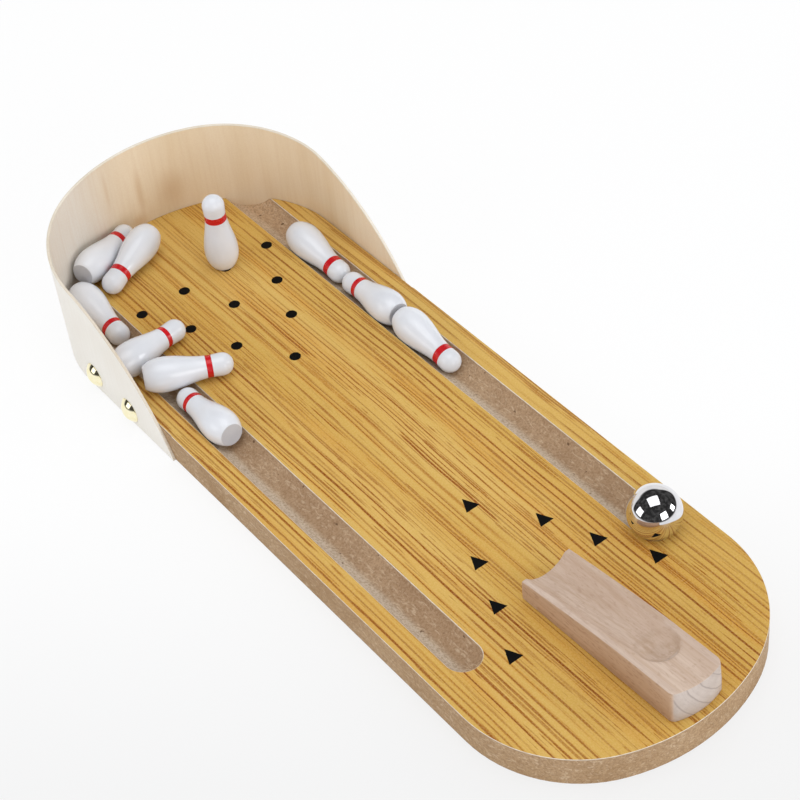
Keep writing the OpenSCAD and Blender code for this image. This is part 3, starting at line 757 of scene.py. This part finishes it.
def pin_profile(low, top):
    """Outline of a pin whose band goes from height low to height top."""
    soft, deep = 0.16, BAND_T - 0.03
    foot_steps, body_points, band_points, neck_points, head_steps = 5, 46, 4, 10, 14
    profile = [(0, 0, 1), (1.3, 0, 1), (2.7, 0, 1)]
    for i in range(foot_steps + 1):
        a = math.pi / 2 * i / foot_steps
        profile.append((FOOT_R - soft + soft * math.sin(a), soft * (1 - math.cos(a)), 1 if i < 3 else 0))
    profile += [(pin_r(h), h, 0) for h in np.linspace(soft + 0.15, low, body_points)]
    profile += [(pin_r(h) - deep, h, 0) for h in np.linspace(low, top, band_points)]
    profile += [(pin_r(h), h, 0) for h in np.linspace(top, PIN_HEAD_H, neck_points)]
    for i in range(1, head_steps):
        a = math.pi / 2 * i / head_steps
        profile.append((PIN_HEAD_R * math.cos(a), PIN_HEAD_H + (PIN_H - PIN_HEAD_H) * math.sin(a), 0))
    profile.append((0, PIN_H, 0))
    return profile


def band_profile(low, top):
    """Closed outline of a pin's band, which stands just proud of the pin and slants in at its edges."""
    proud, slant, thick, off_edge, steps = 0.012, 0.04, BAND_T - 0.04, 0.01, 6
    low, high = low + off_edge, top - off_edge
    heights = [low + (high - low) * i / steps for i in range(steps + 1)]
    outside = [(pin_r(h) + (proud if 0 < i < steps else proud - slant), h, 0) for i, h in enumerate(heights)]
    outside[1:1] = [(pin_r(low + slant) + proud, low + slant, 0)]
    outside[-1:-1] = [(pin_r(high - slant) + proud, high - slant, 0)]
    return outside + [(pin_r(h) - thick, h, 0) for h in reversed(heights)]


def node_points(name):
    """The distinct corners of a CAD node's mesh."""
    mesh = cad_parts[name].data
    co = np.empty(len(mesh.vertices) * 3)
    mesh.vertices.foreach_get("co", co)
    return np.unique(np.round(co.reshape(-1, 3), 7), axis=0)


def pin_place(n):
    """Where pin n lies: its own frame, foot at the origin and axis +Z, read off the CAD pin's flat foot."""
    ring, body = node_points("band_%d" % n), node_points("pin_%d" % n)
    mid = ring.mean(0)
    axis = np.linalg.svd(ring - mid)[2][-1]
    along = (body - mid) @ axis
    if along.max() > -along.min():
        axis, along = -axis, -along
    foot = body[along < along.min() + 0.0002]
    foot_mid = foot.mean(0)
    flat = np.linalg.svd(foot - foot_mid)[2][-1]
    axis = flat if flat @ axis > 0 else -flat
    across = np.linalg.svd(foot - foot_mid)[2][0]
    rim = foot[np.linalg.norm(foot - foot_mid, axis=1) > 0.5 * FOOT_R * MM] - foot_mid
    side = np.cross(axis, across)
    u, v = rim @ across, rim @ side
    fit = np.linalg.lstsq(np.c_[2 * u, 2 * v, np.ones(len(u))], u**2 + v**2, rcond=None)[0]
    centre = foot_mid + fit[0] * across + fit[1] * side
    turn = Matrix([[across[i], side[i], axis[i], centre[i]] for i in range(3)] + [[0, 0, 0, 1]])
    off = body - centre
    radius = np.linalg.norm(off - np.outer(off @ axis, axis), axis=1) / MM
    heights = off @ axis / MM
    worst = max(r - pin_r(min(max(h, 0), PIN_H)) for r, h in zip(radius, heights))
    assert worst < 0.05, "pin %d isn't where its profile says: %.3f mm" % (n, worst)
    return turn


def make_pins():
    for n in PINS:
        place, name = pin_place(n), "pin_%d" % n
        low, top = BAND_FROM[n - 1], BAND_FROM[n - 1] + BAND_W[n - 1]
        verts, faces, marks = revolve(pin_profile(low, top), TURN_STEPS)
        # The foot's look is the white paint with painted shade.
        looks = [WHITE, PAINTED_SHADE_FOOT]
        piece("TurnedPin_%d" % n, verts, faces, looks, name, [name], marks, place)
        verts, faces, marks = revolve(band_profile(low, top), TURN_STEPS, closed=True)
        piece("PinBand_%d" % n, verts, faces, [RED], name, ["band_%d" % n], marks, place)


# The ramp, a worn wooden block
def make_ramp():
    half = RAMP_W / 2
    bends = [(0.0, RAMP_HIGH), *zip(RAMP_BEND_AT, RAMP_BEND_H), (RAMP_L, RAMP_LOW)]
    slants = [(a, h, (h - g) / (b - a)) for (a, h), (b, g) in zip(bends, bends[1:])]
    base_z = RAMP_HIGH - SEAT_FROM_END * slants[0][2] - GROOVE_HIGH
    groove_run = RAMP_L - SEAT_FROM_END
    groove_fall = math.atan((base_z - RAMP_LOW + GROOVE_LOW) / groove_run)
    groove_turn = math.atan(SEAT_X / groove_run)
    nose_c = math.sqrt(RAMP_NOSE_R**2 - (half + RAMP_NOSE_X) ** 2)
    ball_r = BALL_D / 2 + REST_GAP
    bend_soft, groove_soft = 0.12, 0.035
    left_soft, right_soft, right_worn = 1.5, 0.8, 1.6

    def low_of(values, soft):
        """The lowest of some heights, blended where they cross, as a cutter leaves a slightly soft edge."""
        lowest = min(values)
        return lowest - soft * math.log(sum(math.exp((lowest - v) / soft) for v in values))

    def top_at(u, v):
        """Height of the ramp's top at u across and v along it, groove and seat cut in."""
        heights = [low_of([h - (v - a) * slant for a, h, slant in slants], bend_soft)]
        x, y = u - SEAT_X, v - SEAT_FROM_END
        across = x * math.cos(groove_turn) + y * math.sin(groove_turn)
        along = y * math.cos(groove_turn) - x * math.sin(groove_turn)
        away = x * x + y * y
        if along >= 0 and abs(across) < GROOVE_R:
            dip = GROOVE_R - math.sqrt(GROOVE_R**2 - across**2)
            heights.append(base_z + (dip - along * math.sin(groove_fall)) / math.cos(groove_fall))
        if along < 0 and away < GROOVE_R**2:
            heights.append(base_z + GROOVE_R - math.sqrt(GROOVE_R**2 - away))
        if away < ball_r**2:
            heights.append(base_z - SEAT_DROP + ball_r - math.sqrt(ball_r**2 - away))
        return low_of(heights, groove_soft)

    def nose(u, level=1.0):
        """Where the high end face is at u: its right corner is worn round, most of all at the top."""
        soft = right_soft + right_worn * level**2 if u > 0 else left_soft
        past = max(0.0, abs(u) - half + soft)
        face = nose_c - math.sqrt(RAMP_NOSE_R**2 - (u - RAMP_NOSE_X) ** 2)
        return face + soft - math.sqrt(soft**2 - past**2)

    edge = [0.0, 0.05, 0.14, 0.3, 0.52, 0.8]
    across, along = np.linspace(-half + 1.2, half - 1.2, 44), np.linspace(0.018, 0.982, 118)
    us = sorted({-half + e for e in edge} | {half - e for e in edge} | set(across))
    ts = sorted({e / RAMP_L for e in edge} | {1 - e / RAMP_L for e in edge} | set(along))
    worn, most_worn, unevenness, bottom_inset = 0.5, 0.8, 0.45, 0.35
    verts, faces = [], []
    n_u, n_t = len(us), len(ts)
    for t in ts:
        for u in us:
            v0 = nose(u)
            v = v0 + (RAMP_L - v0) * t
            near_side, near_end = max(0.0, half - abs(u)), max(0.0, min(v - v0, RAMP_L - v))
            sag = 0.0
            for d in (near_side, near_end):
                if d < worn:
                    chip = 1 + unevenness * noise.noise(Vector((u * 0.5, v * 0.35, 3.0)))
                    sag += chip * (worn - math.sqrt(worn**2 - (worn - d) ** 2))
            verts.append((u, v, top_at(u, v) - min(sag, most_worn)))
    for i in range(n_t - 1):
        for j in range(n_u - 1):
            faces.append((i * n_u + j, i * n_u + j + 1, (i + 1) * n_u + j + 1, (i + 1) * n_u + j))
    rim = [j for j in range(n_u)] + [i * n_u + n_u - 1 for i in range(1, n_t)]
    rim += [(n_t - 1) * n_u + j for j in range(n_u - 2, -1, -1)] + [i * n_u for i in range(n_t - 2, 0, -1)]
    last = rim
    for level in (0.72, 0.4, 0.035, 0.0):
        start = len(verts)
        inset = bottom_inset if level == 0.0 else 0.0
        for r in rim:
            z = verts[r][2]
            u, t = us[r % n_u], ts[r // n_u]
            front = nose(u, level) + inset
            y = front + (RAMP_L - inset - front) * t
            verts.append((u * (1 - inset / half), y, z * level if level else 0.0))
        row = list(range(start, len(verts)))
        for a in range(len(rim)):
            b = (a + 1) % len(rim)
            faces.append((last[b], last[a], row[a], row[b]))
        last = row
    faces.append(tuple(last))
    spot = Vector((RAMP_X, FRONT_Y + RAMP_START, BOARD_T)) * MM
    place = Matrix.Translation(spot) @ Matrix.Rotation(math.radians(RAMP_TURN), 4, "Z")
    piece("RampBlock", verts, faces, [BEECH], "ramp", ["ramp"], place=place, sharp=50)


make_guard()
make_lane()
make_marks()
make_nails()
make_ball()
make_pins()
make_ramp()
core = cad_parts["board_core"]
core.data.materials[0] = MDF


# Lamps, world and floor
def direction(azimuth, elevation):
    """A unit vector: azimuth from +Y towards +X, elevation above the horizon, in degrees."""
    a, e = math.radians(azimuth), math.radians(elevation)
    return Vector((math.sin(a) * math.cos(e), math.cos(a) * math.cos(e), math.sin(e)))


AIM = Vector((0, 0, 0.012))


def softbox(name, azimuth, elevation, distance, half_angle, watts, turn=0.0):
    """A square lamp that shows half_angle degrees to each side when seen from the board."""
    data = bpy.data.lights.new(name, "AREA")
    data.shape = "SQUARE"
    data.size = 2 * distance * math.tan(math.radians(half_angle))
    data.energy = watts
    lamp = bpy.data.objects.new(name, data)
    bpy.context.scene.collection.objects.link(lamp)
    way = direction(azimuth, elevation)
    own_turn = Matrix.Rotation(math.radians(turn), 3, "Z").to_quaternion()
    lamp.location = AIM + way * distance
    lamp.rotation_mode = "QUATERNION"
    lamp.rotation_quaternion = way.to_track_quat("Z", "Y") @ own_turn
    lamp.visible_camera = False


softbox("BoxOverhead", 0, 90, distance=1.3, half_angle=20.5, watts=4.2, turn=-24)
softbox("BoxLeft", -71, 22, distance=1.5, half_angle=14, watts=2.7)
softbox("BoxFront", 179, 21, distance=1.5, half_angle=13, watts=3.6)
softbox("BoxRight", 132, 17, distance=1.5, half_angle=8, watts=2.4)


def make_world():
    """Plain and pale for the light and the camera, and a dark studio with a white sheet for reflections."""
    world = bpy.data.worlds.new("Studio")
    bpy.context.scene.world = world
    world.use_nodes = True
    k = Nodes(world.node_tree)
    way = k.node("TexCoord", {}).outputs["Generated"]
    x, y, z = k.parts(way)
    sheet_way, sheet_top, sheet_light = math.radians(20), math.sin(math.radians(27)), 0.84
    toward = k.plus(k.times(x, math.sin(sheet_way)), k.times(y, math.cos(sheet_way)))
    share = k.over(toward, k.math("MAXIMUM", k.length(x, y), 0.001))
    top = k.times(k.step(share, 0.45, 0.85), sheet_top)
    sheet = k.step(k.minus(z, top), -0.04, 0.09, 1.0, 0.0)
    murk = k.step(k.noise(way, 5.0, 4.0), 0.42, 0.72, 0.026, 0.085)
    glint = k.plus(k.times(sheet, sheet_light), murk)
    dark = k.node("Background", {"Color": (1.0, 0.98, 0.96, 1), "Strength": glint})
    less_above = k.step(z, 0.0, 1.0, 1.0, 0.62)
    plain = k.node("Background", {"Color": (0.97, 0.98, 1.0, 1), "Strength": less_above})
    pale = k.node("Background", {"Strength": 1.0})
    paths = k.node("LightPath", {}).outputs
    lit = k.node("MixShader", {0: paths["Is Glossy Ray"], 1: plain.outputs[0], 2: dark.outputs[0]})
    seen = k.node("MixShader", {0: paths["Is Camera Ray"], 1: lit.outputs[0], 2: pale.outputs[0]})
    k.node("OutputWorld", {"Surface": seen.outputs[0]})


def make_floor():
    """A paper floor that scatters light plainly, and glows pale to the camera and in reflections. Its glow
    has painted shade, a little darker toward the front left.
    """
    size, low = 3.0, -0.0002
    mesh = bpy.data.meshes.new("Floor")
    corners = [(-size, -size, low), (size, -size, low), (size, size, low), (-size, size, low)]
    mesh.from_pydata(corners, [], [(0, 1, 2, 3)])
    floor = bpy.data.objects.new("Floor", mesh)
    bpy.context.scene.collection.objects.link(floor)
    mat = bpy.data.materials.new("FloorPaper")
    mat.use_nodes = True
    k = Nodes(mat.node_tree)
    bounce = k.node("BsdfDiffuse", {0: (0.86, 0.86, 0.86, 1)})
    shade = k.node("BsdfDiffuse", {0: (0.14, 0.14, 0.14, 1)})
    # Painted shade: the glow falls off toward the front left.
    toward = k.node("VectorMath", {0: k.here(), 1: (0.6, 0.8, 0.0)}, operation="DOT_PRODUCT")
    glow = k.node("Emission", {"Strength": k.step(toward.outputs["Value"], -0.17, 0.02, 0.755, 0.85)})
    seen = k.node("AddShader", {0: shade.outputs[0], 1: glow.outputs[0]})
    paths = k.node("LightPath", {}).outputs
    direct = k.math("MAXIMUM", paths["Is Camera Ray"], paths["Is Glossy Ray"])
    both = k.node("MixShader", {0: direct, 1: bounce.outputs[0], 2: seen.outputs[0]})
    k.node("OutputMaterial", {"Surface": both.outputs[0]})
    mesh.materials.append(mat)


make_world()
make_floor()


# The camera, where the photograph was taken from
CAMERA_AT = Vector((-0.26523, -0.42369, 0.51289))
CAMERA_AZIMUTH, CAMERA_FALL, CAMERA_ROLL = 32.744, 44.118, -7.115
CAMERA_LENS, CAMERA_SENSOR = 96.156, 36.0


def make_camera():
    azimuth, fall, roll = [math.radians(a) for a in (CAMERA_AZIMUTH, CAMERA_FALL, CAMERA_ROLL)]
    ahead = Vector((math.sin(azimuth) * math.cos(fall), math.cos(azimuth) * math.cos(fall), -math.sin(fall)))
    level = Vector((math.cos(azimuth), -math.sin(azimuth), 0))
    upright = level.cross(ahead)
    right = level * math.cos(roll) + upright * math.sin(roll)
    up = right.cross(ahead)
    data = bpy.data.cameras.new("Camera")
    data.lens, data.sensor_width = CAMERA_LENS, CAMERA_SENSOR
    data.clip_start, data.clip_end = 0.01, 20.0
    cam = bpy.data.objects.new("Camera", data)
    bpy.context.scene.collection.objects.link(cam)
    rows = [[right[i], up[i], -ahead[i], CAMERA_AT[i]] for i in range(3)] + [[0, 0, 0, 1]]
    cam.matrix_world = Matrix(rows)
    bpy.context.scene.camera = cam


make_camera()
bpy.context.scene.view_settings.view_transform = "Standard"
